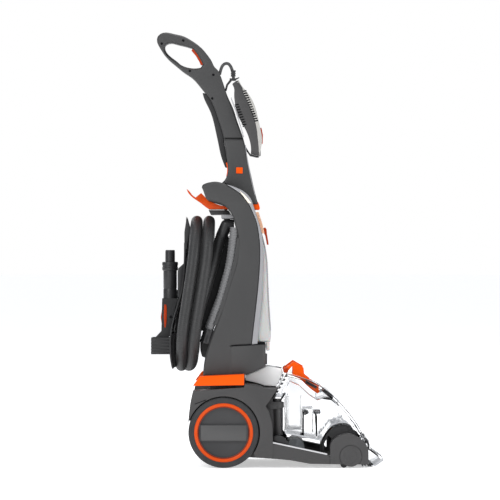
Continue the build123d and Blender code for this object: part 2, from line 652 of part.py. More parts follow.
def unit_back():
    inner = [(-89, 985), (-84, 972), (-84, 952), (-82, 936), (-79, 918), (-68, 892), (-56, 871),
             (-48, 853), (-42, 832), (-41, 804)]
    face = profile(inner, [inner[-1], UNIT_SPLIT[0]], UNIT_SPLIT, [UNIT_SPLIT[-1], inner[0]])
    return slab(face, -40, 40) & unit_front_view()


def unit_front():
    outer = [(-72, 996), (-67, 984), (-51, 963), (-33, 933), (-22, 894), (-17, 871), (-12, 840),
             (-15, 816), (-19, 796)]
    face = profile(outer, [outer[-1], UNIT_SPLIT[0]], UNIT_SPLIT, [UNIT_SPLIT[-1], outer[0]])
    solid = slab(face, -40, 40) & unit_front_view()
    return solid - bar(-18.5, -5, -9.5, 9.5, 829, 872.5)


def unit_button():
    return slab(polygon((-16, 872), (-13, 871), (-9.5, 853), (-10, 832), (-11, 829.5), (-16, 829.5)),
                -9, 9)


def upper_hook():
    """Collar round the lead with a thin arm back to the stem."""
    block = bar(-96, -80, -7, 7, 994, 1000)
    arm = slab(polygon((-109, 967), (-104, 967), (-100, 982), (-90, 994), (-96, 996), (-105, 984)),
               -4, 4)
    lip = slab(polygon((-80, 996), (-71, 1001), (-71, 1003), (-80, 1000)), -7, 7)
    solid = block + arm + lip - slab(handle_outline(), -HANDLE_Y, HANDLE_Y)
    return solid - rod_z(-85.5, 0, LEAD_D / 2, 990, 1004) - unit_room()


def unit_room():
    """Space of the hand unit, which its hooks fit round."""
    return slab(polygon((-89, 985), (-79, 993), (-72, 996), (-67, 984), (-20, 850), (-20, 799),
                        (-41, 804), (-48, 853), (-84, 952)), -40, 40)


def lower_hook():
    arm = slab(polygon((-60, 828), (-57, 828), (-46, 809), (-41, 802.5), (-20, 797.5), (-20, 794),
                       (-26, 794), (-43, 798), (-50, 808), (-62, 824)), -10, 10)
    return arm - lower_stem() - slab(polygon((-41, 804), (-20, 799), (-20, 830), (-41, 830)), -40, 40)


LEAD_PATH = [(-122, 0, 1010), (-118.5, 0, 1027), (-110.5, 0, 1038.5), (-99, 0, 1039.5),
             (-91, 0, 1028), (-87, 0, 1012), (-85.5, 0, 996.5)]


# ---- write every node -----------------------------------------------------------
def main():
    right_half, right_cap, right_tyre, right_hub = body_shell(), head_cap(), tyre(), hub()
    nodes = {
        "side_shell_right": side_shell_right(), "side_shell_left": left_of(side_shell()),
        "recline_pedal": recline_pedal(), "arch_cover": arch_cover(), "floor_pan": floor_pan(),
        "top_deck": top_deck(), "filter_lid": filter_lid(), "suction_column": suction_column(),
        "head_cap_right": right_cap, "head_cap_left": left_of(right_cap),
        "brush_housing": brush_housing(), "suction_nozzle": suction_nozzle(),
        "squeegee": squeegee(), "brush_motor": brush_motor(), "motor_pulley": motor_pulley(),
        "drive_belt": drive_belt(), "brush_roller": brush_roller(),
        "head_roller_right": head_roller(),
        "head_roller_left": left_of(head_roller()),
        "tyre_right": right_tyre, "tyre_left": left_of(right_tyre),
        "hub_right": right_hub, "hub_left": left_of(right_hub), "axle": axle(),
        "dirty_tank": dirty_tank(), "tank_separator": tank_separator(), "tank_handle": tank_handle(),
        "body_shell_right": right_half, "body_shell_left": left_of(right_half),
        "tank_surround": tank_surround(), "lower_cover": lower_cover(), "yoke": yoke(),
        "suction_motor": suction_motor(), "fan_rotor": fan_rotor(), "water_pump": water_pump(),
        "hose_port": hose_port(), "flap": flap(), "rear_duct": rear_duct(),
        "hose_spool": hose_spool(), "hose_coil": hose_coil(),
        "hose_entry": tube("hose_entry", HOSE_ENTRY, HOSE_D),
        "hose_tail": tube("hose_tail", HOSE_TAIL, HOSE_D), "hose_cuff": hose_cuff(),
        "wand_tube": wand_tube(), "wand_grip": wand_grip(),
        "wand_trigger": wand_trigger(), "clean_tank": clean_tank(), "tank_lever": tank_lever(),
        "lower_stem": lower_stem(), "square_button": square_button(),
        "handle_right": handle_right(), "handle_left": left_of(handle_half()),
        "trigger": trigger(), "spine_cover": spine_cover(), "unit_back": unit_back(),
        "unit_front": unit_front(), "unit_button": unit_button(),
        "upper_hook": upper_hook(), "lower_hook": lower_hook(),
        "lead": tube("lead", LEAD_PATH, LEAD_D),
    }
    print(len(nodes), "nodes")
    for name, shape in nodes.items():
        save(name, shape)


main()
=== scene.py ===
"""Finished look of the upright carpet washer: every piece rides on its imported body."""

import json
import math

import bpy
from mathutils import Matrix, Vector


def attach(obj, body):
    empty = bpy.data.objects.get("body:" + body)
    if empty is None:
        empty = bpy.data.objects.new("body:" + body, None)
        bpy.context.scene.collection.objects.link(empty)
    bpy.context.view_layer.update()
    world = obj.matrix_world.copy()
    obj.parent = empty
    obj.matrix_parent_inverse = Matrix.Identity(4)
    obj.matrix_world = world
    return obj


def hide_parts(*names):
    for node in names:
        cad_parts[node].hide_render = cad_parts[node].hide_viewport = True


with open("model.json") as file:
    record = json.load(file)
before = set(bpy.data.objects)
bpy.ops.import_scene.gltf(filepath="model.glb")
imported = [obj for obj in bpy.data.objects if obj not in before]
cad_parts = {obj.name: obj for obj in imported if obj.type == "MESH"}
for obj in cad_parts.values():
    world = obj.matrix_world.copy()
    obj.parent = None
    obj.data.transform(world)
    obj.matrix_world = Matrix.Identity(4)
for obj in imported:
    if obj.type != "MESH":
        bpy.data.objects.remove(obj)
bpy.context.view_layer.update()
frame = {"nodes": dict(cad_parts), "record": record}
nodes = frame["nodes"]
MM = 0.001
MIRROR = Matrix.Diagonal((1, -1, 1, 1))
WHEEL_CENTRE = (-110, 0, 90)
BRUSH_CENTRE = (213, 0, 30)
HEAD_FACE = 143
TANK_SIDE = 87.4
STEM_SIDE = 24
HANDLE_FACE = 18.2
LID_SIDE = 56
BODY_OF = {n: b for b, names in frame["record"]["behaviour"]["bodies"].items() for n in names}
SLOT_OF = {s["node"]: s["material_slot"] for s in frame["record"]["subparts"]}


# ---- studio ---------------------------------------------------------------------
def studio():
    """Camera square to the machine's right side, pale floor, soft lights."""
    scene = bpy.context.scene
    scene.view_settings.view_transform = "Standard"
    camera_data = bpy.data.cameras.new("side_camera")
    camera_data.lens = 166.15
    camera_data.clip_end = 60
    camera = bpy.data.objects.new("side_camera", camera_data)
    camera.location = (-0.043, -6.0, 0.554)
    camera.rotation_euler = (math.pi / 2, 0, 0)
    scene.collection.objects.link(camera)
    scene.camera = camera

    world = bpy.data.worlds.new("soft_room")
    world.use_nodes = True
    scene.world = world
    tree = world.node_tree
    background = tree.nodes["Background"]
    seen = tree.nodes.new("ShaderNodeBackground")
    path = tree.nodes.new("ShaderNodeLightPath")
    mix = tree.nodes.new("ShaderNodeMixShader")
    background.inputs["Color"].default_value = (0.93, 0.95, 1.0, 1)
    background.inputs["Strength"].default_value = 0.60
    seen.inputs["Color"].default_value = (1, 1, 1, 1)
    seen.inputs["Strength"].default_value = 1.0
    tree.links.new(path.outputs["Is Camera Ray"], mix.inputs[0])
    tree.links.new(background.outputs[0], mix.inputs[1])
    tree.links.new(seen.outputs[0], mix.inputs[2])
    tree.links.new(mix.outputs[0], tree.nodes["World Output"].inputs["Surface"])

    for name, place, size, power in (
            ("key_light", (-2.2, -3.6, 3.2), 2.2, 90),
            ("front_light", (3.4, -2.2, 1.8), 2.0, 55),
            ("side_fill", (-3.0, -4.8, 0.5), 1.8, 46),
            ("top_light", (0.4, 0.6, 4.2), 2.6, 70),
            ("back_light", (-1.5, 3.8, 2.4), 2.4, 60)):
        light = bpy.data.lights.new(name, "AREA")
        light.size = size
        light.energy = power
        lamp = bpy.data.objects.new(name, light)
        lamp.location = place
        aim = Vector((0, 0, 0.5)) - Vector(place)
        lamp.rotation_euler = aim.to_track_quat("-Z", "Y").to_euler()
        scene.collection.objects.link(lamp)

    deselect()
    bpy.ops.mesh.primitive_circle_add(vertices=96, radius=45, fill_type="NGON",
                                      location=(0, 0, -0.0004))
    floor = bpy.context.object
    floor.name = "studio_floor"
    pale = plastic("pale_floor", (0.90, 0.90, 0.90), 0.8, grain=0.02, grain_scale=60, spread=0.01)
    glow = pale.node_tree.nodes["Principled BSDF"]
    glow.inputs["Emission Color"].default_value = (1, 1, 1, 1)
    glow.inputs["Emission Strength"].default_value = 0.48
    glow.inputs["Specular IOR Level"].default_value = 0.1
    floor.data.materials.append(pale)


# ---- finishes -------------------------------------------------------------------
def new_material(name):
    material = bpy.data.materials.new(name)
    material.use_nodes = True
    tree = material.node_tree
    shader = tree.nodes["Principled BSDF"]
    where = tree.nodes.new("ShaderNodeTexCoord")
    return material, tree, shader, where


def noise(tree, where, scale, detail=3.0, stretch=None):
    """Noise on the piece's own coordinates, stretched where a finish has a direction."""
    texture = tree.nodes.new("ShaderNodeTexNoise")
    texture.inputs["Scale"].default_value = scale
    texture.inputs["Detail"].default_value = detail
    source = where.outputs["Object"]
    if stretch:
        mapping = tree.nodes.new("ShaderNodeMapping")
        mapping.inputs["Scale"].default_value = stretch
        tree.links.new(source, mapping.inputs["Vector"])
        source = mapping.outputs["Vector"]
    tree.links.new(source, texture.inputs["Vector"])
    return texture.outputs["Fac"]


def between(tree, value, low, high):
    """Map noise, which stays near its middle, to a span."""
    span = tree.nodes.new("ShaderNodeMapRange")
    span.inputs["From Min"].default_value = 0.3
    span.inputs["From Max"].default_value = 0.7
    span.inputs["To Min"].default_value = low
    span.inputs["To Max"].default_value = high
    tree.links.new(value, span.inputs["Value"])
    return span.outputs["Result"]


def two_tone(tree, value, color, spread):
    """A colour that drifts a little lighter and darker over the piece."""
    ramp = tree.nodes.new("ShaderNodeValToRGB")
    ramp.color_ramp.elements[0].position = 0.3
    ramp.color_ramp.elements[1].position = 0.7
    ramp.color_ramp.elements[0].color = [c * (1 - spread) for c in color] + [1]
    ramp.color_ramp.elements[1].color = [min(1, c * (1 + spread)) for c in color] + [1]
    tree.links.new(value, ramp.inputs["Fac"])
    return ramp.outputs["Color"]


def bumped(tree, shader, value, strength, distance=0.0004, after=None):
    bump = tree.nodes.new("ShaderNodeBump")
    bump.inputs["Strength"].default_value = strength
    bump.inputs["Distance"].default_value = distance
    tree.links.new(value, bump.inputs["Height"])
    if after:
        tree.links.new(after.outputs["Normal"], bump.inputs["Normal"])
    tree.links.new(bump.outputs["Normal"], shader.inputs["Normal"])
    return bump


def plastic(name, color, rough, grain=0.25, grain_scale=900, spread=0.05, coat=0.0, gloss=0.4):
    """Moulded plastic: fine spark-eroded grain, faint handling marks in its gloss."""
    material, tree, shader, where = new_material(name)
    cloud = noise(tree, where, 7, 4)
    tree.links.new(two_tone(tree, cloud, color, spread), shader.inputs["Base Color"])
    marks = noise(tree, where, 38, 6)
    tree.links.new(between(tree, marks, rough - 0.05, rough + 0.07), shader.inputs["Roughness"])
    first = bumped(tree, shader, noise(tree, where, grain_scale, 2), grain, 0.00025)
    bumped(tree, shader, noise(tree, where, 16, 1), 0.06, 0.0012, first)
    shader.inputs["Coat Weight"].default_value = coat
    shader.inputs["Coat Roughness"].default_value = 0.08
    shader.inputs["Specular IOR Level"].default_value = gloss
    return material


def rubber(name, color, rough=0.72):
    material, tree, shader, where = new_material(name)
    tree.links.new(two_tone(tree, noise(tree, where, 24, 5), color, 0.16),
                   shader.inputs["Base Color"])
    tree.links.new(between(tree, noise(tree, where, 60, 4), rough - 0.08, rough + 0.08),
                   shader.inputs["Roughness"])
    bumped(tree, shader, noise(tree, where, 700, 4), 0.35, 0.0003)
    shader.inputs["Sheen Weight"].default_value = 0.08
    return material


def clear(name, color, rough=0.04, through=1.0):
    """See-through moulding with faint flow lines and water marks."""
    material, tree, shader, where = new_material(name)
    tree.links.new(two_tone(tree, noise(tree, where, 9, 3), color, 0.03),
                   shader.inputs["Base Color"])
    tree.links.new(between(tree, noise(tree, where, 30, 6), max(0.01, rough - 0.03), rough + 0.05),
                   shader.inputs["Roughness"])
    bumped(tree, shader, noise(tree, where, 12, 2, (1, 0.4, 1)), 0.10, 0.0008)
    shader.inputs["Transmission Weight"].default_value = through
    shader.inputs["IOR"].default_value = 1.16
    return material


def frosted(name, color):
    """Translucent white tank wall: soft inside, slightly cloudy."""
    material, tree, shader, where = new_material(name)
    tree.links.new(two_tone(tree, noise(tree, where, 8, 5), color, 0.04),
                   shader.inputs["Base Color"])
    tree.links.new(between(tree, noise(tree, where, 45, 4), 0.28, 0.40),
                   shader.inputs["Roughness"])
    bumped(tree, shader, noise(tree, where, 500, 2), 0.12, 0.0003)
    shader.inputs["Subsurface Weight"].default_value = 0.5
    shader.inputs["Subsurface Scale"].default_value = 0.012
    shader.inputs["Transmission Weight"].default_value = 0.12
    return material


def metal(name, color, rough, stretch=(40, 1, 40)):
    """Turned metal: fine lines round the part."""
    material, tree, shader, where = new_material(name)
    lines = noise(tree, where, 30, 4, stretch)
    tree.links.new(two_tone(tree, lines, color, 0.08), shader.inputs["Base Color"])
    tree.links.new(between(tree, lines, rough - 0.08, rough + 0.1), shader.inputs["Roughness"])
    bumped(tree, shader, lines, 0.08, 0.0002)
    shader.inputs["Metallic"].default_value = 1.0
    return material


casing = plastic("casing_grey", (0.036, 0.036, 0.036), 0.46, 0.30, 1100, 0.06)
chassis = plastic("chassis_grey", (0.040, 0.039, 0.039), 0.50, 0.35, 800, 0.07)
dark_satin = plastic("dark_satin", (0.014, 0.014, 0.015), 0.38, 0.2, 1200, 0.12)
dark_grain = plastic("dark_grain", (0.014, 0.014, 0.0145), 0.58, 0.5, 520, 0.12)
trim_grey = plastic("trim_grey", (0.26, 0.26, 0.27), 0.34, 0.12, 1300)
# Pale grey for thin lines; on the stem's front edge it is a painted highlight.
light_line = plastic("pale_trim_and_highlight", (0.50, 0.50, 0.51), 0.35, 0.1, 1300)
orange = plastic("signal_orange", (0.80, 0.082, 0.0), 0.38, 0.08, 1400, 0.04, 0.0, 0.12)
orange_deep = plastic("deep_orange", (0.38, 0.032, 0.001), 0.38, 0.10, 1400, 0.05, 0.0, 0.15)
# Dark orange for the wheel's lip: painted shade round the edges of the orange ring.
shade_orange = plastic("painted_shade_orange", (0.16, 0.018, 0.004), 0.45, 0.10, 1400, 0.05, 0.0, 0.2)
ring_orange = plastic("ring_orange", (0.56, 0.056, 0.0), 0.36, 0.08, 1400, 0.05, 0.0, 0.2)
lid_white = plastic("lid_white", (0.86, 0.86, 0.85), 0.36, 0.12, 1200, 0.02)
unit_white = plastic("unit_white", (0.38, 0.372, 0.35), 0.33, 0.10, 1300, 0.03)
cream = plastic("cream_insert", (0.80, 0.73, 0.62), 0.4, 0.1, 1200, 0.03)
tank_wall = frosted("frosted_tank", (0.50, 0.495, 0.485))
tank_clear = clear("clear_tank", (0.97, 0.98, 0.985))
peach = clear("peach_insert", (1.0, 0.62, 0.42), 0.10, 0.55)
smoke = clear("smoked_insert", (0.96, 0.96, 0.96), 0.08, 0.9)
# Lighter grey for the hub's raised bar, the same moulding as the darker hub: painted light on its face.
bar_grey = plastic("bar_grey", (0.060, 0.060, 0.060), 0.34, 0.10, 1300)
duct_grey = plastic("duct_grey", (0.14, 0.14, 0.143), 0.42, 0.15, 900)
hose_rubber = rubber("hose_vinyl", (0.011, 0.011, 0.0114), 0.46)
cable_rubber = rubber("cable_sheath", (0.030, 0.030, 0.031), 0.55)
tyre_rubber = rubber("tyre_rubber", (0.018, 0.018, 0.019))
hub_black = plastic("hub_black", (0.030, 0.030, 0.031), 0.45, 0.4, 700, 0.1)
steel = metal("turned_steel", (0.58, 0.58, 0.59), 0.28)
motor_paint = plastic("motor_paint", (0.20, 0.21, 0.22), 0.42, 0.25, 500)
nylon = rubber("nylon_tufts", (0.10, 0.10, 0.105), 0.5)
slot_black = plastic("slot_black", (0.004, 0.004, 0.005), 0.7, 0.1, 900, 0.05, 0.0, 0.1)


# ---- modelling helpers ----------------------------------------------------------
def deselect():
    if bpy.context.object and bpy.context.object.mode != "OBJECT":
        bpy.ops.object.mode_set(mode="OBJECT")
    bpy.ops.object.select_all(action="DESELECT")


def only(piece):
    deselect()
    piece.select_set(True)
    bpy.context.view_layer.objects.active = piece


def edit(piece):
    only(piece)
    bpy.ops.object.mode_set(mode="EDIT")
    bpy.ops.mesh.select_mode(type="VERT")
    bpy.ops.mesh.select_all(action="SELECT")


def done():
    bpy.ops.object.mode_set(mode="OBJECT")


def smooth(piece, degrees=38):
    only(piece)
    bpy.ops.object.shade_smooth_by_angle(angle=math.radians(degrees))


def modify(piece, kind, **settings):
    """Add a modifier with these settings and apply it."""
    only(piece)
    modifier = piece.modifiers.new(kind.lower(), kind)
    for key, value in settings.items():
        setattr(modifier, key, value)
    bpy.ops.object.modifier_apply(modifier=modifier.name)


def rounded(piece, width, segments=3, angle=35, clamp=True):
    modify(piece, "BEVEL", width=width * MM, segments=segments, limit_method="ANGLE",
           angle_limit=math.radians(angle), use_clamp_overlap=clamp)
    smooth(piece)


def finished(piece, body, material, node=None, slot=None):
    """Dress a piece, let it ride, and let it stand for its CAD node."""
    piece.data.materials.clear()
    piece.data.materials.append(material)
    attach(piece, body)
    if node:
        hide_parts(*([node] if isinstance(node, str) else node))
        slot = slot or SLOT_OF[node if isinstance(node, str) else node[0]]
    return piece


def curve_through(points, step=5.0):
    """Smooth line through a few points, closely divided."""
    line = [points[0]]
    padded = [points[0]] + list(points) + [points[-1]]
    for a, b, c, d in zip(padded, padded[1:], padded[2:], padded[3:]):
        count = max(1, round(math.dist(b, c) / step))
        for i in range(1, count + 1):
            t = i / count
            line.append(tuple(
                0.5 * (2 * q + (r - p) * t + (2 * p - 5 * q + 4 * r - s) * t * t
                       + (3 * q - p - 3 * r + s) * t ** 3)
                for p, q, r, s in zip(a, b, c, d)))
    return line


def outline(*runs, step=5.0):
    """Closed outline from runs of points: two points are straight, more are a curve."""
    line = []
    for run in runs:
        part = list(run) if len(run) == 2 else curve_through(run, step)
        if line and math.dist(line[-1], part[0]) < 0.2:
            part = part[1:]
        line += part
    if math.dist(line[0], line[-1]) < 0.2:
        line.pop()
    return line


def plate(name, line, near, far, axis="Y"):
    """Flat outline (in mm) drawn from a circle's points and extruded to a thickness."""
    deselect()
    bpy.ops.mesh.primitive_circle_add(vertices=len(line), radius=0.01, fill_type="NGON")
    piece = bpy.context.object
    piece.name = name
    for vertex, (u, v) in zip(piece.data.vertices, line):
        place = {"Y": (u, near, v), "X": (near, u, v), "Z": (u, v, near)}[axis]
        vertex.co = Vector(place) * MM
    step = {"Y": (0, 1, 0), "X": (1, 0, 0), "Z": (0, 0, 1)}[axis]
    edit(piece)
    bpy.ops.mesh.extrude_region_move(
        TRANSFORM_OT_translate={"value": Vector(step) * (far - near) * MM})
    bpy.ops.mesh.select_all(action="SELECT")
    bpy.ops.mesh.normals_make_consistent(inside=False)
    done()
    return piece


def round_side(piece, level, width, segments=4, axis=1):
    """Round the outline edges that lie in the plane at level, in mm."""
    edit(piece)
    bpy.ops.mesh.select_all(action="DESELECT")
    bpy.ops.mesh.select_mode(type="EDGE")
    done()
    mesh = piece.data
    flat = {}
    for face in mesh.polygons:
        if abs(abs(face.normal[axis]) - 1) < 0.01:
            for key in face.edge_keys:
                flat[key] = flat.get(key, 0) + 1
    for edge in mesh.edges:
        ends = [mesh.vertices[i].co[axis] / MM for i in edge.vertices]
        edge.select = (flat.get(tuple(sorted(edge.vertices)), 0) == 1
                       and all(abs(e - level) < 0.01 for e in ends))
    bpy.ops.object.mode_set(mode="EDIT")
    bpy.ops.mesh.bevel(offset=width * MM, segments=segments, affect="EDGES", profile=0.5,
                       clamp_overlap=False)
    done()
    smooth(piece)


def carve(piece, *cutters):
    for cutter in cutters:
        modify(piece, "BOOLEAN", operation="DIFFERENCE", object=cutter, solver="EXACT")
        bpy.data.objects.remove(cutter)
    return piece


def block(name, low, high, edge=1.0, segments=3):
    """Rounded block between two corners, in mm."""
    deselect()
    bpy.ops.mesh.primitive_cube_add(size=1)
    piece = bpy.context.object
    piece.name = name
    for vertex in piece.data.vertices:
        for i in range(3):
            vertex.co[i] = (low[i] if vertex.co[i] < 0 else high[i]) * MM
    if edge:
        rounded(piece, edge, segments)
    return piece


def turned(name, line, centre, axis="Y", steps=64, edge=0.0):
    """Closed (radius, height) profile, in mm, spun once round an axis through centre."""
    deselect()
    bpy.ops.mesh.primitive_circle_add(vertices=len(line), radius=0.01, fill_type="NOTHING")
    piece = bpy.context.object
    piece.name = name
    cx, cy, cz = centre
    for vertex, (r, h) in zip(piece.data.vertices, line):
        place = {"Y": (cx + r, cy + h, cz), "Z": (cx + r, cy, cz + h), "X": (cx + h, cy, cz + r)}[axis]
        vertex.co = Vector(place) * MM
    edit(piece)
    bpy.ops.mesh.spin(steps=steps, angle=2 * math.pi, center=Vector(centre) * MM,
                      axis={"Y": (0, 1, 0), "Z": (0, 0, 1), "X": (1, 0, 0)}[axis])
    bpy.ops.mesh.select_all(action="SELECT")
    bpy.ops.mesh.remove_doubles(threshold=1e-6)
    bpy.ops.mesh.delete_loose()
    bpy.ops.mesh.select_all(action="SELECT")
    bpy.ops.mesh.normals_make_consistent(inside=False)
    done()
    if edge:
        rounded(piece, edge, 2)
    smooth(piece)
    return piece


def softened(node, width, material, segments=2, angle=30):
    """Finished copy of a CAD node: facets merged, sharp edges rounded."""
    piece = bpy.data.objects.new(node + "_finished", nodes[node].data.copy())
    bpy.context.scene.collection.objects.link(piece)
    edit(piece)
    bpy.ops.mesh.customdata_custom_splitnormals_clear()
    bpy.ops.mesh.remove_doubles(threshold=1e-6)
    bpy.ops.mesh.dissolve_limited(angle_limit=math.radians(0.8))
    done()
    rounded(piece, width, segments, angle)
    return finished(piece, BODY_OF[node], material, node)


def flipped(piece):
    """Move a piece to the machine's other side."""
    piece.data.transform(MIRROR)
    piece.data.flip_normals()


def other_side(piece, name):
    """The same piece mirrored to the machine's other side."""
    twin = bpy.data.objects.new(name, piece.data.copy())
    bpy.context.scene.collection.objects.link(twin)
    flipped(twin)
    smooth(twin)
    return twin


def both_sides(piece, body, material, slot):
    twin = other_side(piece, piece.name + "_left")
    finished(piece, body, material, slot=slot)
    finished(twin, body, material, slot=slot)


def joined(name, *pieces):
    deselect()
    for piece in pieces:
        piece.select_set(True)
    bpy.context.view_layer.objects.active = pieces[0]
    bpy.ops.object.join()
    pieces[0].name = name
    return pieces[0]


def copied(piece, matrix, name=None):
    twin = bpy.data.objects.new(name or piece.name, piece.data.copy())
    bpy.context.scene.collection.objects.link(twin)
    twin.data.transform(matrix)
    return twin


# ---- cords ----------------------------------------------------------------------
HOSE_ENTRY = [(-0.117, -0.042, 0.589), (-0.128, -0.050, 0.556), (-0.141, -0.064, 0.508),
              (-0.157, -0.077, 0.455), (-0.172, -0.086, 0.404), (-0.184, -0.090, 0.358),
              (-0.191, -0.063, 0.312), (-0.192, -0.015, 0.284), (-0.191, 0.041, 0.284),
              (-0.189, 0.089, 0.311), (-0.184, 0.117, 0.358)]
HOSE_TAIL = [(-0.223, 0.040, 0.262), (-0.227, 0.084, 0.287), (-0.235, 0.113, 0.328),
             (-0.243, 0.120, 0.370), (-0.244, 0.121, 0.398)]
LEAD_PATH = [(-0.122, 0, 1.010), (-0.1185, 0, 1.027), (-0.1105, 0, 1.0385), (-0.099, 0, 1.0395),
             (-0.091, 0, 1.028), (-0.087, 0, 1.012), (-0.0855, 0, 0.9965)]
LOOP_HEIGHTS = (0.239, 0.372, 0.504, 0.645)
LOOP_RADIUS = 0.1215           # half the width of a loop, and its rounded ends
LOOP_TOP = 0.510               # centre of the upper round end
LOOP_FOOT = 0.373              # centre of the lower one
LOOP_MIDDLE = 0.441
LOOP_X = ((-0.193, -0.182, -0.155, -0.148), (-0.222, -0.213, -0.188, -0.180))


def lean(z, turn):
    """Where loop number turn lies, front to back, at height z."""
    row = LOOP_X[turn]
    i = 0 if z <= LOOP_HEIGHTS[1] else 1 if z <= LOOP_HEIGHTS[2] else 2
    share = (z - LOOP_HEIGHTS[i]) / (LOOP_HEIGHTS[i + 1] - LOOP_HEIGHTS[i])
    return row[i] + share * (row[i + 1] - row[i])


def hose_route():
    """Entry run, two oblong loops of up to sixteen points, the last cut short, and the tail."""
    points = list(HOSE_ENTRY)
    for turn in range(2):
        loop = [(LOOP_RADIUS, LOOP_MIDDLE)]
        loop += [(LOOP_RADIUS * math.cos(math.radians(a)),
                  LOOP_TOP + LOOP_RADIUS * math.sin(math.radians(a))) for a in range(12, 180, 26)]
        loop += [(-LOOP_RADIUS, LOOP_MIDDLE)]
        loop += [(LOOP_RADIUS * math.cos(math.radians(a)),
                  LOOP_FOOT + LOOP_RADIUS * math.sin(math.radians(a))) for a in range(192, 360, 26)]
        if turn == 1:
            loop = loop[:-3]
        for y, z in loop:
            x = lean(z, turn)
            if turn == 0 and z < LOOP_FOOT and y > -0.06:
                x += (lean(z, 1) - x) * min(1, (y + 0.06) / 0.16)
            points.append((x, y, z))
    return points + HOSE_TAIL


def spline(name, points, thickness=0.0):
    data = bpy.data.curves.new(name, "CURVE")
    data.dimensions = "3D"
    data.resolution_u = 16
    line = data.splines.new("NURBS")
    line.points.add(len(points) - 1)
    for point, place in zip(line.points, points):
        point.co = (*place, 1)
    line.order_u = 3
    line.use_endpoint_u = True
    data.bevel_depth = thickness / 2
    data.bevel_resolution = 6
    data.use_fill_caps = True
    piece = bpy.data.objects.new(name, data)
    bpy.context.scene.collection.objects.link(piece)
    return piece


def centres(points, spacing):
    """Evenly spaced points read from the smooth line through a route."""
    guide = spline("guide", points)
    bpy.context.view_layer.update()
    mesh = bpy.data.meshes.new_from_object(guide.evaluated_get(bpy.context.evaluated_depsgraph_get()))
    dense = [v.co.copy() for v in mesh.vertices]
    bpy.data.objects.remove(guide)
    bpy.data.meshes.remove(mesh)
    length = sum((b - a).length for a, b in zip(dense, dense[1:]))
    count = round(length / spacing)
    result, travelled, target = [dense[0]], 0.0, length / count
    for a, b in zip(dense, dense[1:]):
        run = (b - a).length
        while run > 0 and travelled + run >= target - 1e-9 and len(result) < count:
            result.append(a.lerp(b, (target - travelled) / run))
            target += length / count
        travelled += run
    result.append(dense[-1])
    return result, length


def ribbed(name, path, radii, sides=18):
    """Tube of rings along a path; radii repeat from ring to ring."""
    along = (path[1] - path[0]).normalized()
    across = along.orthogonal().normalized()
    points, faces = [], []
    for i, centre in enumerate(path):
        ahead = (path[min(i + 1, len(path) - 1)] - path[max(i - 1, 0)]).normalized()
        across = (across - ahead * across.dot(ahead)).normalized()
        up = ahead.cross(across)
        radius = radii[i % len(radii)]
        for k in range(sides):
            turn = 2 * math.pi * k / sides
            points.append(centre + (across * math.cos(turn) + up * math.sin(turn)) * radius)
    for i in range(len(path) - 1):
        for k in range(sides):
            a, b = i * sides + k, i * sides + (k + 1) % sides
            faces.append((a, b, b + sides, a + sides))
    faces.append(tuple(range(sides))[::-1])
    faces.append(tuple(range((len(path) - 1) * sides, len(path) * sides)))
    mesh = bpy.data.meshes.new(name)
    mesh.from_pydata(points, [], faces)
    piece = bpy.data.objects.new(name, mesh)
    bpy.context.scene.collection.objects.link(piece)
    smooth(piece, 60)
    return piece


def make_hose():
    path, length = centres(hose_route(), 0.00125)
    print("hose length", round(length, 3))
    hose = ribbed("ribbed_hose", path, (0.0150, 0.01455, 0.0141, 0.01455), 18)
    finished(hose, "upright", hose_rubber, ["hose_entry", "hose_coil", "hose_tail"], "hose")
    x, y, z = (c / MM for c in HOSE_TAIL[-1])
    cuff = turned("hose_end_cuff", [(15.2, -6), (17, -6), (17.5, 0), (18, 2), (18, 30), (19.5, 31),
                                    (19.5, 37), (18, 38), (18, 50), (14, 50), (14, 44), (15.2, 40)],
                  (x, y, z), "Z", 48, 0.5)
    finished(cuff, "upright", dark_satin, "hose_cuff")


def make_lead():
    lead = spline("unit_lead", LEAD_PATH, 0.008)
    lead.data.materials.append(cable_rubber)
    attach(lead, "upright")
    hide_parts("lead")


def make_duct():
    route = [(-0.082, -0.083, 0.612), (-0.089, -0.083, 0.536), (-0.104, -0.083, 0.475),
             (-0.119, -0.083, 0.425), (-0.136, -0.083, 0.385), (-0.150, -0.083, 0.346)]
    path, _ = centres(route, 0.0016)
    duct = ribbed("ribbed_duct", path, (0.0128, 0.0125, 0.0116, 0.0114, 0.0120), 28)
    cuff = turned("duct_cuff", [(11, -19), (14, -19), (14.6, -17), (14.6, -12), (14, -11), (14, 11),
                                (14.8, 12), (14.8, 17), (14, 19), (11, 19)], (0, 0, 0), "Z", 48, 0.4)
    cuff.data.transform(Matrix.Translation(Vector((-153, -84, 333)) * MM)
                        @ Matrix.Rotation(math.radians(16), 4, "Y"))
    finished(duct, "upright", duct_grey, "rear_duct")
    finished(cuff, "upright", dark_satin, slot="black_plastic")


studio()
make_hose()
make_lead()
make_duct()


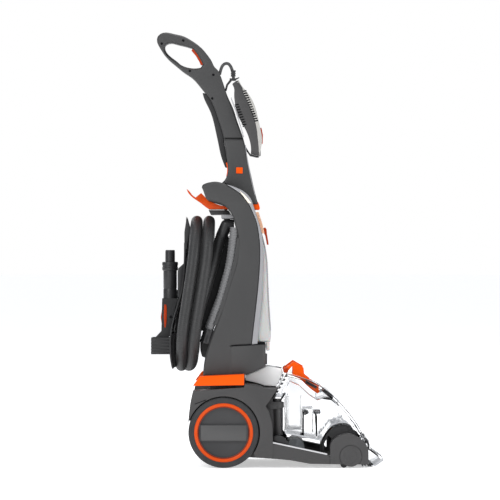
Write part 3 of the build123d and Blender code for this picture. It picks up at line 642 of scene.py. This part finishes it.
# ---- upright casing -------------------------------------------------------------
def make_casing():
    for side in ("right", "left"):
        softened(f"body_shell_{side}", 2.0, casing, 3)
    # Black wedge under the tank: painted shade in the gap between the tank and the lower casing.
    gap_shadow = plate("casing_gap_shadow", [(-90, 309.2), (-38, 312.4), (-4, 316.5), (-4, 313), (-38, 310),
                                 (-90, 307.4)], -98.4, -90)
    both_sides(gap_shadow, "upright", slot_black, "black_plastic")
    insert = plate("tank_window", outline([(-70, 705), (-60, 698), (-50, 688), (-39, 673)],
                                          [(-39, 673), (-47, 674)],
                                          [(-47, 674), (-56, 686), (-70, 705)]), -98.5, -94)
    rounded(insert, 0.5, 2)
    both_sides(insert, "upright", cream, "tank_white")
    cover = plate("joint_cover", [(-101, 306), (-80, 306.5), (-80, 236), (-101, 236)], -97.9, -92)
    both_sides(cover, "upright", casing, "casing")
    rim = plate("rear_rim", curve_through([(-136, 362), (-121, 402), (-107.5, 448), (-95, 489), (-85.5, 523),
                                           (-80, 554), (-76, 585)], 4)
                + [(-68, 585), (-70, 554), (-76, 523), (-85, 489), (-98, 448), (-112, 402), (-128, 362)],
                -97.6, -94.5)
    rounded(rim, 1.0, 2)
    both_sides(rim, "upright", casing, "casing")
    bump = block("release_bump", (-6, -14, 257), (1.5, 14, 285), 2.5)
    finished(bump, "upright", dark_satin, slot="black_plastic")


make_casing()
softened("tank_surround", 0.7, trim_grey)
softened("lower_cover", 1.6, casing)
softened("yoke", 2.0, dark_grain)


# ---- stem and handle ------------------------------------------------------------
def screw(name, x, y, z, radius, body, side=-1):
    """Flat black screw with a sunk middle, on the side that side points to."""
    deselect()
    bpy.ops.mesh.primitive_cylinder_add(vertices=24, radius=radius * MM, depth=1.6 * MM,
                                        location=Vector((x, y, z)) * MM,
                                        rotation=(math.pi / 2, 0, 0))
    piece = bpy.context.object
    piece.name = name
    bpy.ops.object.transform_apply(location=True, rotation=True, scale=True)
    edit(piece)
    bpy.ops.mesh.select_mode(type="FACE")
    bpy.ops.mesh.select_all(action="DESELECT")
    done()
    for face in piece.data.polygons:
        face.select = face.normal.y * side > 0.9
    bpy.ops.object.mode_set(mode="EDIT")
    bpy.ops.mesh.inset(thickness=radius * 0.28 * MM)
    bpy.ops.mesh.extrude_region_move(TRANSFORM_OT_translate={"value": (0, -side * 0.9 * MM, 0)})
    done()
    smooth(piece, 30)
    return finished(piece, body, slot_black, slot="steel")


def make_handle():
    for side in ("right", "left"):
        softened(f"handle_{side}", 2.0, casing, 3)
    for i, (x, z) in enumerate([(-272, 1089), (-216, 1097), (-199, 1018), (-138, 1008),
                                (-141, 947)]):
        screw(f"handle_screw_{i}", x, -HANDLE_FACE, z, 3.1, "upright")
        screw(f"handle_screw_left_{i}", x, HANDLE_FACE, z, 3.1, "upright", side=1)
    # Pale strip along the stem's front edge: painted highlight of the edge.
    line = plate("stem_highlight_strip", curve_through([(-91, 950), (-80, 921), (-70, 889), (-61.5, 860),
                                             (-58.5, 848)], 6)
                 + [(-61, 848), (-64, 860), (-72.5, 889), (-82.5, 920), (-93, 949)], -18.7, -15)
    both_sides(line, "upright", light_line, "light_trim")
    # lower strip along the neck's front edge, also a painted highlight
    lower = plate("stem_highlight_strip_lower", [(-54, 826), (-47.5, 778), (-40.5, 745), (-34.5, 717), (-29, 696),
                                      (-31, 696), (-36.5, 717), (-42.5, 745), (-49.5, 778), (-56, 826)],
                  -24.6, -20)
    both_sides(lower, "upright", trim_grey, "light_trim")


make_handle()
softened("trigger", 2.0, orange_deep, 3)
softened("spine_cover", 1.6, dark_grain, 3)


def make_stem():
    front = [(-60, 842), (-53, 813), (-46, 774), (-39, 743), (-33, 715), (-25, 684), (-21, 672)]
    back = [(-118, 727), (-109, 735), (-103, 746), (-100, 760), (-102, 780), (-106, 806),
            (-111, 842)]
    face = outline(front, [(-21, 672), (-60, 672)], [(-60, 672), (-60, 700)],
                   [(-60, 700), (-80, 709), (-104, 722), (-118, 727)], back,
                   [(-111, 842), (-60, 842)], step=6)
    stem = plate("stem_neck", face, -STEM_SIDE, STEM_SIDE)
    for side in (-STEM_SIDE, STEM_SIDE):
        round_side(stem, side, 6, 5)
    smooth(stem)
    finished(stem, "upright", casing, "lower_stem")
    rear = plate("rear_clip", outline([(-106, 781), (-103, 770), (-102.5, 758), (-105, 744)],
                                      [(-105, 744), (-98, 744)], [(-98, 744), (-98, 781)],
                                      [(-98, 781), (-106, 781)]), -14, 14)
    rounded(rear, 1.2)
    finished(rear, "upright", orange, slot="orange")
    release = plate("stem_release", [(-40, 677), (-22, 679), (-19.5, 672), (-17, 662), (-19, 658),
                                     (-36, 658)], -20, 20)
    rounded(release, 2.5)
    finished(release, "upright", orange, slot="orange")


make_stem()
softened("square_button", 1.6, orange, 3)


# ---- hand unit ------------------------------------------------------------------
UNIT_SPLIT = [(-20, 799), (-20, 811), (-22, 833), (-25, 862), (-30, 887), (-37, 908), (-45, 930),
              (-59, 959), (-69, 978), (-79, 993)]
UNIT_WIDTH = [(793, 18), (805, 28), (830, 35), (870, 38), (910, 35), (950, 27), (980, 17),
              (1000, 9)]


def reading(rows, height):
    for (z0, a), (z1, b) in zip(rows, rows[1:]):
        if z0 <= height <= z1:
            return a + (b - a) * (height - z0) / (z1 - z0)
    return rows[-1][1] if height > rows[-1][0] else rows[0][1]


def unit_cheek():
    """Raised dark edge where the two mouldings of the unit meet."""
    outer = [(x + 4.5, z) for x, z in UNIT_SPLIT]
    strip = plate("unit_cheek", UNIT_SPLIT + outer[::-1], -1, 1)
    for vertex in strip.data.vertices:
        side = -1 if vertex.co.y < 0 else 1
        vertex.co.y = side * (reading(UNIT_WIDTH, vertex.co.z / MM) + 0.5) * MM
    carve(strip, block("button_room", (-120, -14, 780), (0, 14, 990), 0))
    finished(strip, "upright", chassis, slot="casing")


def slots(name, start, end, count, length):
    """Row of air slots along the unit's side, one modelled and the rest copied."""
    run = Vector((end[0] - start[0], 0, end[1] - start[1]))
    turn = math.atan2(run.x, -run.z)
    first = block(name, (-length / 2, -1.2, -1.65), (length / 2, 1.2, 1.65), 0.6, 2)
    pieces = []
    for i in range(count):
        x = start[0] + run.x * i / (count - 1)
        z = start[1] + run.z * i / (count - 1)
        width = reading(UNIT_WIDTH, z)
        flare = (reading(UNIT_WIDTH, z + 4) - reading(UNIT_WIDTH, z - 4)) / 8
        for side in (-1, 1):
            tilt = Matrix.Rotation(side * math.atan(flare), 4, "X")
            move = (Matrix.Translation(Vector((x, side * (width + 0.5), z)) * MM) @ tilt
                    @ Matrix.Rotation(-turn * 0.55, 4, "Y"))
            pieces.append(copied(first, move))
    bpy.data.objects.remove(first)
    finished(joined(name, *pieces), "upright", slot_black, slot="black_plastic")


softened("unit_back", 1.6, chassis, 3)
softened("unit_front", 1.6, unit_white, 3)
softened("unit_button", 1.0, orange_deep, 3)
unit_cheek()
slots("front_slots", (-56.5, 966), (-26.5, 888), 14, 9)
slots("back_slots", (-77.5, 930), (-57.5, 878), 9, 10)
softened("upper_hook", 0.8, dark_satin)
softened("lower_hook", 0.8, dark_satin)
collar = turned("lead_collar", [(4.1, -16), (6.4, -16), (6.4, -13), (5.4, -12.5), (5.4, -10.5), (6.4, -10),
                                (6.4, -7), (5.4, -6.5), (5.4, -4.5), (6.4, -4), (6.4, 0), (4.1, 0)],
                (-86.6, 0, 1021), "Z", 32)
finished(collar, "upright", dark_satin, slot="black_plastic")


# ---- hose store, flap, port, wand -----------------------------------------------
def make_hose_store():
    """Spool, elbow, flap, and the ribs and fillers round them."""
    softened("hose_spool", 1.2, dark_grain)
    softened("hose_port", 1.0, dark_satin)
    softened("flap", 0.7, ring_orange, 2)
    pin = plate("port_rib", [(-117, 634.5), (-74, 634.5), (-74, 645.5), (-117, 645.5)], -62, -50)
    rounded(pin, 3.0)
    both_sides(pin, "upright", trim_grey, "light_trim")
    pad = plate("flange_pad", outline([(-246, 340), (-247, 300), (-244, 270), (-240, 252)],
                                      [(-240, 252), (-235, 252)],
                                      [(-235, 252), (-236, 270), (-238, 300), (-238, 340)],
                                      [(-238, 340), (-246, 340)]), -60, 60)
    finished(pad, "upright", dark_grain, slot="black_plastic")
    crest = plate("spool_crest", [(-138, 554), (-134, 586), (-126, 592), (-100, 592), (-84, 554)], -28, 28)
    rounded(crest, 2.0)
    finished(crest, "upright", dark_grain, slot="black_plastic")
    web = plate("port_web", outline([(-169, 332), (-171, 300), (-166, 280)], [(-166, 280), (-150, 274)],
                                    [(-150, 274), (-138, 292)], [(-138, 292), (-134, 332)],
                                    [(-134, 332), (-169, 332)]), -70, 70)
    rounded(web, 1.5)
    finished(web, "upright", dark_grain, slot="black_plastic")
    stay = plate("wand_stay", [(-228, 507), (-215, 519), (-211, 516), (-215, 472), (-223, 430),
                               (-230, 433), (-230, 498)], -38, -33)
    rounded(stay, 1.0, 2)
    finished(stay, "upright", dark_satin, slot="black_plastic")


make_hose_store()


def make_wand():
    x, y = -250, -20
    tube = turned("wand_pipe", [(9, 440), (17.5, 429), (17.5, 431), (17.5, 452), (16.8, 453), (16.8, 455),
                                (17.5, 456), (17.5, 500), (20, 502), (20.6, 504), (20.6, 509),
                                (19.6, 510), (19.6, 514), (20.6, 515), (20.6, 521), (19.5, 523),
                                (12.5, 524), (12.5, 549), (11.6, 554), (9, 554)],
                  (x, y, 0), "Z", 56)
    finished(tube, "wand", dark_satin, "wand_tube")
    softened("wand_grip", 2.4, dark_grain, 3)
    softened("wand_trigger", 1.6, orange_deep, 3)
    cheek = plate("wand_lever_cheek", outline([(-264.5, 413), (-259, 413)],
                                              [(-259, 413), (-258, 400), (-258.5, 372), (-261, 354)],
                                              [(-261, 354), (-264, 354)],
                                              [(-264, 354), (-265.5, 382), (-264.5, 413)]), -40.9, -39.3)
    rounded(cheek, 0.6, 2)
    finished(cheek, "wand_lever", orange_deep, slot="orange")
    screw("wand_screw", -247.5, -39.2, 381, 3.6, "wand")
    screw("wand_screw_left", -247.5, -0.8, 381, 3.6, "wand", side=1)
    for i in range(5):
        rib = block(f"pocket_rib_{i}", (-298.6, -50.8, 288 + i * 8), (-244.6, 10.8, 291 + i * 8), 0.8, 2)
        finished(rib, "upright", dark_satin, slot="black_plastic")
        carve(rib, block("room", (-294, -46, 280), (-240, 6, 340), 0))


make_wand()


# ---- clean water tank -----------------------------------------------------------
def make_clean_tank():
    front = [(-38, 680), (-27, 646), (-16, 610), (-9, 585), (-3, 560), (2, 523), (6, 425),
             (11, 348), (9, 318)]
    face = outline([(-61, 700), (-52, 696), (-38, 680)], front, [(9, 318), (-61, 317.8)],
                   [(-61, 317.8), (-61, 700)], step=8)
    tank = plate("clean_tank_wall", face, -TANK_SIDE, TANK_SIDE)
    carve(tank, block("stem_notch", (-80, -32, 655), (30, 32, 720), 0))
    for side in (-TANK_SIDE, TANK_SIDE):
        round_side(tank, side, 7, 5)
    finished(tank, "clean_tank", tank_wall, "clean_tank")
    rim = plate("tank_rim", front[:-1] + [(x - 2.2, z - 0.5) for x, z in reversed(front[:-1])], -87.9, -86)
    both_sides(rim, "clean_tank", trim_grey, "light_trim")
    foot = block("tank_foot", (-1.6, -TANK_SIDE, 296), (7.5, TANK_SIDE, 319), 2.2)
    finished(foot, "clean_tank", tank_wall, slot="tank_white")
    band = plate("tank_band", outline([(-31, 651), (-21, 622), (-13, 596)],
                                      [(-13, 596), (-5, 598)],
                                      [(-5, 598), (-12, 625), (-21, 653)],
                                      [(-21, 653), (-31, 651)]), -31, 31)
    rounded(band, 2.2)
    finished(band, "clean_tank", peach, slot="orange")
    for i in range(6):
        z = 350 + i * 34
        x = 10.6 - (z - 348) * 0.0485
        mark = block(f"level_rib_{i}", (x - 2, 40, z), (x + 1.1, 40 + (22 if i % 2 else 34), z + 2), 0.5, 2)
        finished(mark, "clean_tank", tank_wall, slot="tank_white")


make_clean_tank()
softened("tank_lever", 1.4, orange_deep, 3)


# ---- base -----------------------------------------------------------------------
for name in ("side_shell_right", "side_shell_left"):
    softened(name, 2.0, chassis, 3)
softened("recline_pedal", 3.0, orange, 4)
softened("arch_cover", 3.0, orange, 4)
softened("top_deck", 1.5, chassis)
softened("floor_pan", 1.0, dark_grain)


def make_filler_lid():
    lid = plate("filler_lid", outline([(-55, 218), (-55, 231.5)],
                                      [(-55, 231.5), (-28, 241.5), (-12, 249), (3, 253), (38, 247.5)],
                                      [(38, 247.5), (42, 238)], [(42, 238), (24, 202.5)],
                                      [(24, 202.5), (-6, 204.5)], [(-6, 204.5), (-28, 211.5)],
                                      [(-28, 211.5), (-55, 218)], step=6), -LID_SIDE, LID_SIDE)
    for side in (-LID_SIDE, LID_SIDE):
        round_side(lid, side, 3, 4)
    finished(lid, "base", lid_white, "filter_lid")


make_filler_lid()
softened("suction_column", 1.2, chassis)
for name in ("head_cap_right", "head_cap_left"):
    softened(name, 1.2, chassis)
softened("brush_housing", 1.5, dark_grain)
softened("suction_nozzle", 0.8, tank_clear)
softened("squeegee", 0.6, tyre_rubber)
softened("brush_motor", 2.0, motor_paint)
softened("suction_motor", 2.0, motor_paint)
softened("water_pump", 2.0, dark_grain)
softened("fan_rotor", 1.0, motor_paint)
softened("motor_pulley", 0.5, steel)
softened("drive_belt", 0.3, tyre_rubber)
softened("axle", 0.8, steel)
for name in ("head_roller_right", "head_roller_left"):
    softened(name, 1.0, tyre_rubber)


def make_rails():
    rail = plate("rail_edge", [(13, 67), (153, 37), (153, 33.5), (13, 63.5)], -142.2, -134)
    rounded(rail, 0.8, 2)
    both_sides(rail, "base", light_line, "light_trim")
    # Black strip in the arch over the wheel: painted shadow in the gap above the tyre.
    gap = plate("arch_gap_shadow", [(-183, 164), (-154, 174.5), (-154, 172.5), (-183, 162)], -143.4, -140)
    both_sides(gap, "base", slot_black, "black_plastic")


def make_head_discs():
    """Raised disc over the brush bearing on each end cap."""
    face = HEAD_FACE - 1.4
    profile = [(0, 0), (26.2, 0), (26.2, -1.2), (25, -2.0), (17, -2.0), (16, -1.2), (5, -1.2),
               (4, -2.2), (0, -2.2)]
    for side in (-1, 1):
        disc = turned("head_disc", profile, (BRUSH_CENTRE[0], side * face, BRUSH_CENTRE[2]), "Y", 56)
        if side > 0:
            disc.data.transform(Matrix.Translation((0, 2 * face * MM, 0)) @ MIRROR)
            disc.data.flip_normals()
        disc.name = "head_disc_right" if side < 0 else "head_disc_left"
        finished(disc, "base", chassis, slot="casing")


def make_nozzle_details():
    """Seals beside the nozzle and the comb under its lip."""
    seal = plate("nozzle_seal", [(249, 69), (258, 69), (262, 58), (262, 44), (257, 44), (257, 56),
                                 (252, 64)], -113.5, -108)
    rounded(seal, 0.8, 2)
    both_sides(seal, "base", dark_satin, "black_plastic")
    tooth = block("comb", (260, -0.9, 0.5), (268, 0.9, 7.5), 0.5, 1)
    teeth = [copied(tooth, Matrix.Translation((0, y * MM, 0))) for y in range(-102, 103, 6)]
    teeth.append(block("comb_bar", (256, -106, 5), (270, 106, 8), 0.8, 2))
    bpy.data.objects.remove(tooth)
    finished(joined("nozzle_comb", *teeth), "base", tyre_rubber, slot="cable")


def make_filler_seal():
    deselect()
    bpy.ops.mesh.primitive_torus_add(major_radius=19 * MM, minor_radius=0.9 * MM, major_segments=48,
                                     minor_segments=10)
    ring = bpy.context.object
    ring.name = "filler_seal"
    ring.data.transform(Matrix.Translation(Vector((20, 0, 250.6)) * MM)
                        @ Matrix.Rotation(math.radians(7.5), 4, "Y"))
    smooth(ring)
    finished(ring, "base", dark_satin, slot="black_plastic")


def make_column_details():
    """Brackets and fillers round the suction column, between shell and tank."""
    bracket = plate("column_bracket", [(-1, 157), (4, 167), (42, 167), (42, 151), (8, 146)], -111, -101.5)
    rounded(bracket, 1.2)
    finished(bracket, "base", chassis, slot="casing")
    back = block("column_back", (12, -101, 72), (27, -97, 160), 1)
    both_sides(back, "base", chassis, "casing")
    web = plate("shell_web", [(-3, 157), (8, 172), (15.5, 178), (15.5, 110), (14, 108), (5, 143)],
                -110, -101.5)
    both_sides(web, "base", chassis, "casing")
    strut = plate("column_strut", [(31, 167), (35, 165), (48, 186), (44, 188.5)], -101, -94)
    rounded(strut, 0.8, 2)
    finished(strut, "base", dark_satin, slot="black_plastic")
    boss = plate("rail_boss", outline([(16, 66), (16, 78)],
                                      [(16, 78), (24, 82), (34, 82), (46, 75), (56, 60)],
                                      [(56, 60), (50, 58)], [(50, 58), (16, 66)]), -132, -119)
    rounded(boss, 1.5)
    both_sides(boss, "base", dark_grain, "black_plastic")


make_rails()
make_head_discs()
make_nozzle_details()
make_filler_seal()
make_column_details()


# ---- dirty water tank -----------------------------------------------------------
softened("dirty_tank", 1.2, tank_clear)
softened("tank_separator", 0.8, smoke)
bail = softened("tank_handle", 2.2, orange, 3)
carve(bail, plate("bail_window", [(53, 240), (67.5, 257.5), (67.5, 224), (56, 236)], -70, 70))
smooth(bail)


def make_tank_details():
    for side in (-1, 1):
        knob = turned("handle_knob", [(0, 0), (6.5, 0), (6.5, 3), (5, 4.5), (2.5, 4.5), (2, 3.6), (0, 3.6)],
                      (49, 66, 244), "Y", 32)
        if side < 0:
            flipped(knob)
        knob.name = "handle_knob_right" if side < 0 else "handle_knob_left"
        finished(knob, "tank_bail", orange_deep, slot="orange")
    vent = plate("lid_vent", [(100, 219), (128, 204), (126, 198), (98, 212)], -88, -64)
    rounded(vent, 1.2)
    both_sides(vent, "dirty_tank", dark_satin, "black_plastic")
    grille = plate("lid_grille", [(146, 196), (170, 175), (166, 170), (142, 191)], -84, 84)
    rounded(grille, 1.2)
    finished(grille, "dirty_tank", dark_satin, slot="black_plastic")
    for i, (x, low, high) in enumerate(((92, 80, 139), (126, 78, 130))):
        wall = block(f"baffle_{i}", (x, -100, low), (x + 3.0, 100, high), 0.8, 2)
        finished(wall, "dirty_tank", slot_black, slot="black_plastic")
    lever = plate("float_arm", [(95, 143), (108, 137), (96, 131)], -99, 60)
    rounded(lever, 0.6, 2)
    finished(lever, "dirty_tank", dark_satin, slot="black_plastic")
    ball = block("float_block", (120, -30, 131), (139, 30, 141), 2.5)
    finished(ball, "dirty_tank", trim_grey, slot="separator")
    front = [(51, 238), (95, 226), (136, 207), (169, 182), (199, 151), (225, 118), (245, 85), (251, 69)]
    for i, inset in enumerate((0.4, 5.5)):
        line = curve_through([(x - inset * 0.75, z - inset * 0.75) for x, z in front], 5)
        back = [(x - 0.9, z - 0.9) for x, z in reversed(line)]
        edge = plate(f"front_edge_{i}", line + back, -116.4, -112.5)
        both_sides(edge, "dirty_tank", slot_black, "black_plastic")
    seal = plate("tank_gasket", [(15, 176), (19, 174), (53, 234), (49, 238)], -117, -112.5)
    for i in range(5):
        carve(seal, block("gap", (8, -119, 186 + i * 10), (58, -110, 190 + i * 10), 0))
    both_sides(seal, "dirty_tank", dark_satin, "black_plastic")


make_tank_details()


# ---- wheels and brush -----------------------------------------------------------
def make_wheels():
    for side, label in ((-1, "right"), (1, "left")):
        tyre = turned(f"tyre_{label}_tread",
                      [(76.05, 108), (84, 108), (88, 109.5), (89.9, 113), (89.9, 118), (88, 118.6),
                       (88, 120.4), (89.9, 121), (89.9, 128), (88, 128.6), (88, 130.4), (89.9, 131), (89.9, 136),
                       (88.4, 140.5), (84.5, 142.9), (80, 142.4), (76.05, 142.6)], WHEEL_CENTRE, "Y", 96)
        ring = turned(f"wheel_{label}_ring",
                      [(66.4, 138), (66.4, 142.2), (68, 143.8), (70.6, 144.6), (73.4, 143.8),
                       (74.8, 142.2), (74.8, 138)], WHEEL_CENTRE, "Y", 96)
        # the darker orange lip showing round both edges of the ring is painted shade
        lip = turned(f"wheel_{label}_lip",
                     [(63.8, 138), (63.8, 141.6), (65, 142.4), (73.3, 142.4), (75.9, 141.8),
                      (75.9, 138)], WHEEL_CENTRE, "Y", 96)
        for piece in (tyre, ring, lip):
            if side < 0:
                flipped(piece)
                smooth(piece)
        finished(tyre, f"wheel_{label}", tyre_rubber, f"tyre_{label}")
        finished(ring, f"wheel_{label}", ring_orange, slot="orange")
        finished(lip, f"wheel_{label}", shade_orange, slot="orange")
        softened(f"hub_{label}", 1.5, hub_black)
        near, far = sorted((side * 136, side * 139.6))
        # the bar's lighter grey than the hub paints its lit face against the shaded recesses
        bar = block(f"hub_bar_{label}", (-168, near, 69.5), (-52, far, 108.5), 1.2)
        finished(bar, f"wheel_{label}", bar_grey, slot="hub")


def make_brush():
    softened("brush_roller", 0.8, dark_grain)
    deselect()
    bpy.ops.mesh.primitive_cone_add(vertices=6, radius1=3.2 * MM, radius2=2.4 * MM, depth=9 * MM,
                                    location=(Vector(BRUSH_CENTRE) + Vector((0, 0, 24.5))) * MM)
    tuft = bpy.context.object
    bpy.ops.object.transform_apply(location=True, rotation=True, scale=True)
    middle = Vector(BRUSH_CENTRE) * MM
    tufts = []
    for row in range(4):
        for i in range(25):
            turn = (Matrix.Translation(middle + Vector((0, (i - 12) * 0.0078, 0)))
                    @ Matrix.Rotation(math.radians(45 + 90 * row), 4, "Y")
                    @ Matrix.Translation(-middle))
            tufts.append(copied(tuft, turn, "tuft"))
    bpy.data.objects.remove(tuft)
    finished(joined("brush_tufts", *tufts), "brush", nylon, slot="bristle")


make_wheels()
make_brush()
